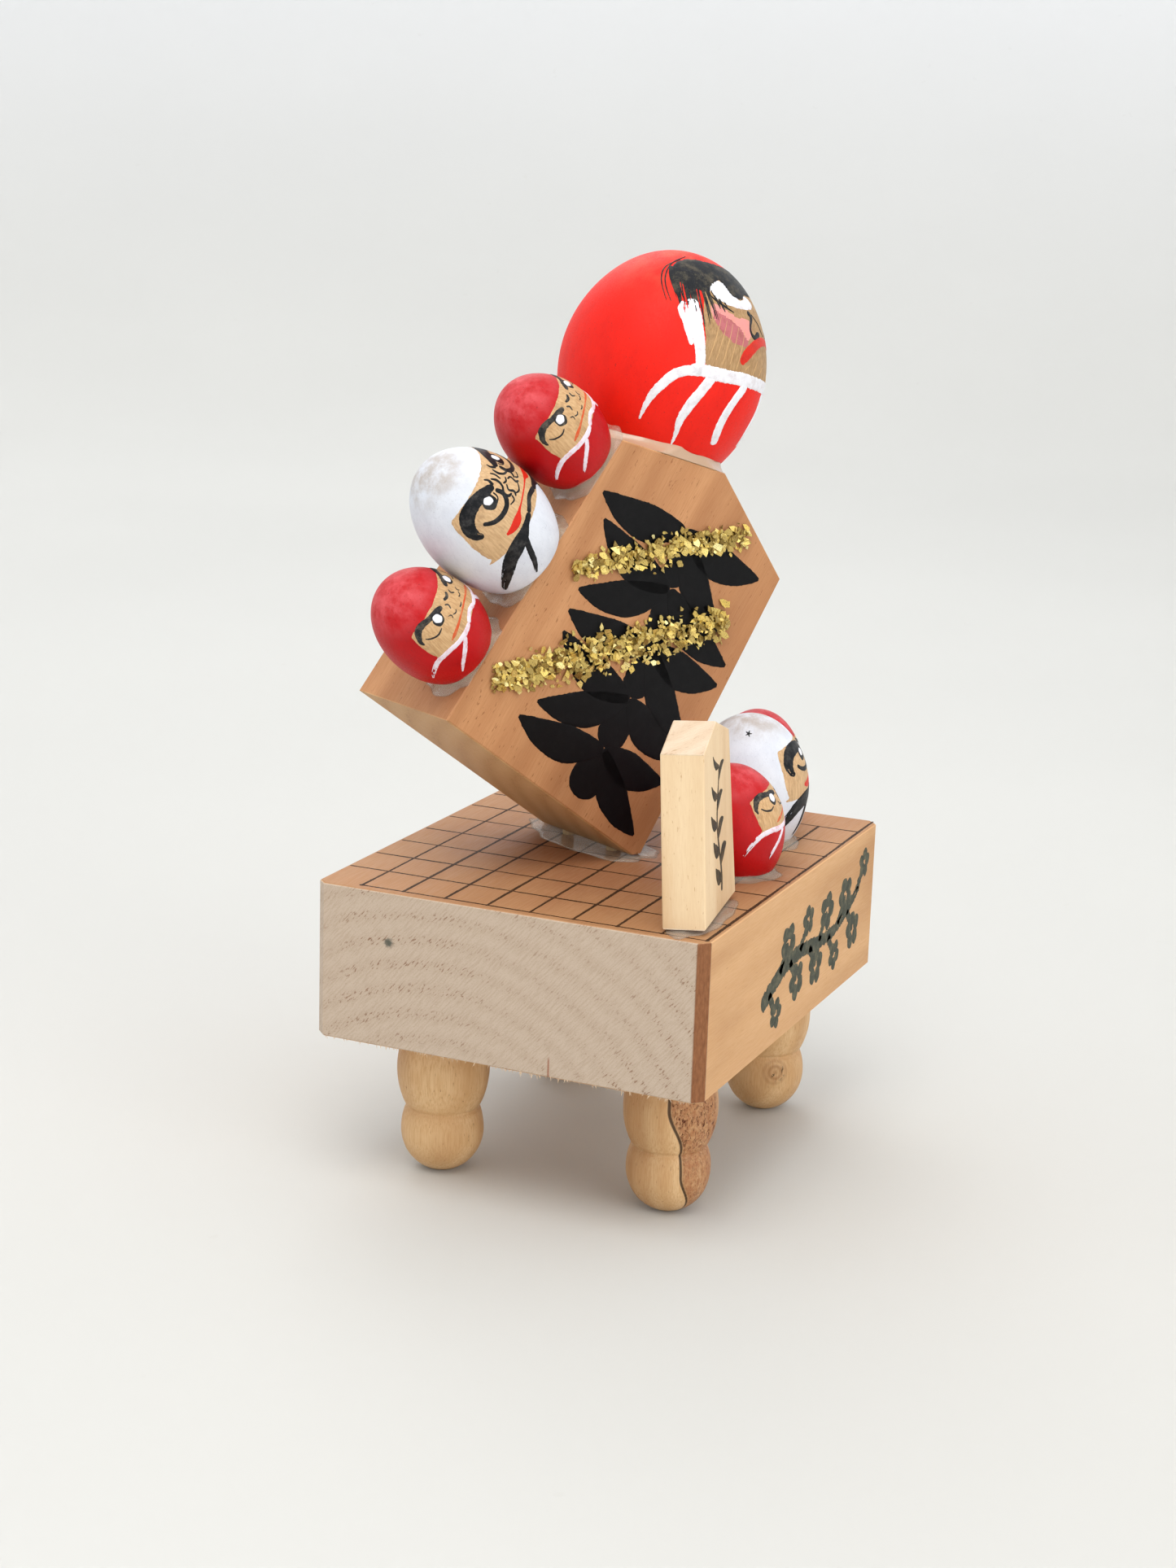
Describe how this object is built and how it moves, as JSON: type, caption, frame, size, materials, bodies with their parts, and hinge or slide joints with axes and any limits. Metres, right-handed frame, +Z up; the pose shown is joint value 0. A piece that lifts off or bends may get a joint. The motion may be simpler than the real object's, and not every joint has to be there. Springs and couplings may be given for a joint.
{
  "type": "daruma doll",
  "caption": "Tabletop ornament: egg-shaped daruma dolls glued on a leaning five-sided shogi plaque and along the front of a low games board on turned legs, with a small upright plaque.",
  "frame": {"origin": "on the floor, under the middle of the whole object's bounding box", "axes": "+Z up; +X along the board's length, from the end with the small plaque to the far end; the board's marked long side, with the eggs' faces, is towards -Y"},
  "size_m": [0.1192, 0.0916, 0.2028],
  "materials": {
    "board_wood": "bare fine-grained hardwood, lightly sanded, inked grid lines",
    "leg_wood": "bare turned wood, smooth with a few torn patches",
    "plaque_wood": "bare reddish hardwood with fine ray flecks",
    "small_plaque_wood": "bare pale wood, smooth",
    "pin_wood": "bare wood, hidden",
    "vermilion_paint": "turned wood under matte orange-red paint",
    "crimson_paint": "turned wood under satin crimson paint, rubbed paler on the crown",
    "white_paint": "turned wood under matte cool white paint, slightly worn",
    "face_wood": "bare tan wood left open for the painted face",
    "ink_black": "black brush ink with a slight sheen",
    "ink_grey": "worn dark grey-green ink",
    "line_white": "opaque white brush paint",
    "line_red": "red brush paint",
    "line_pink": "thin pink brush paint",
    "cloudy_glue": "cloudy whitish hot glue",
    "clear_glue": "clear glossy glue",
    "gold_flakes": "loose gold-coloured flakes"
  },
  "bodies": {
    "root": {"board": "board_wood", "daruma_board_far": "crimson_paint", "daruma_board_middle": "white_paint", "daruma_board_near": "crimson_paint", "daruma_large": "vermilion_paint", "daruma_slope_lower": "crimson_paint", "daruma_slope_middle": "white_paint", "daruma_slope_upper": "crimson_paint", "flake_band_lower": "gold_flakes", "flake_band_upper": "gold_flakes", "glue_daruma_board_far": "clear_glue", "glue_daruma_board_middle": "clear_glue", "glue_daruma_board_near": "clear_glue", "glue_daruma_large": "cloudy_glue", "glue_daruma_slope_lower": "clear_glue", "glue_daruma_slope_middle": "clear_glue", "glue_daruma_slope_upper": "clear_glue", "glue_plaque_foot": "clear_glue", "glue_plaque_small": "clear_glue", "leg_far_back": "leg_wood", "leg_far_front": "leg_wood", "leg_near_back": "leg_wood", "leg_near_front": "leg_wood", "plaque_large": "plaque_wood", "plaque_pin_back": "pin_wood", "plaque_pin_front": "pin_wood", "plaque_small": "small_plaque_wood"}
  },
  "joints": []
}
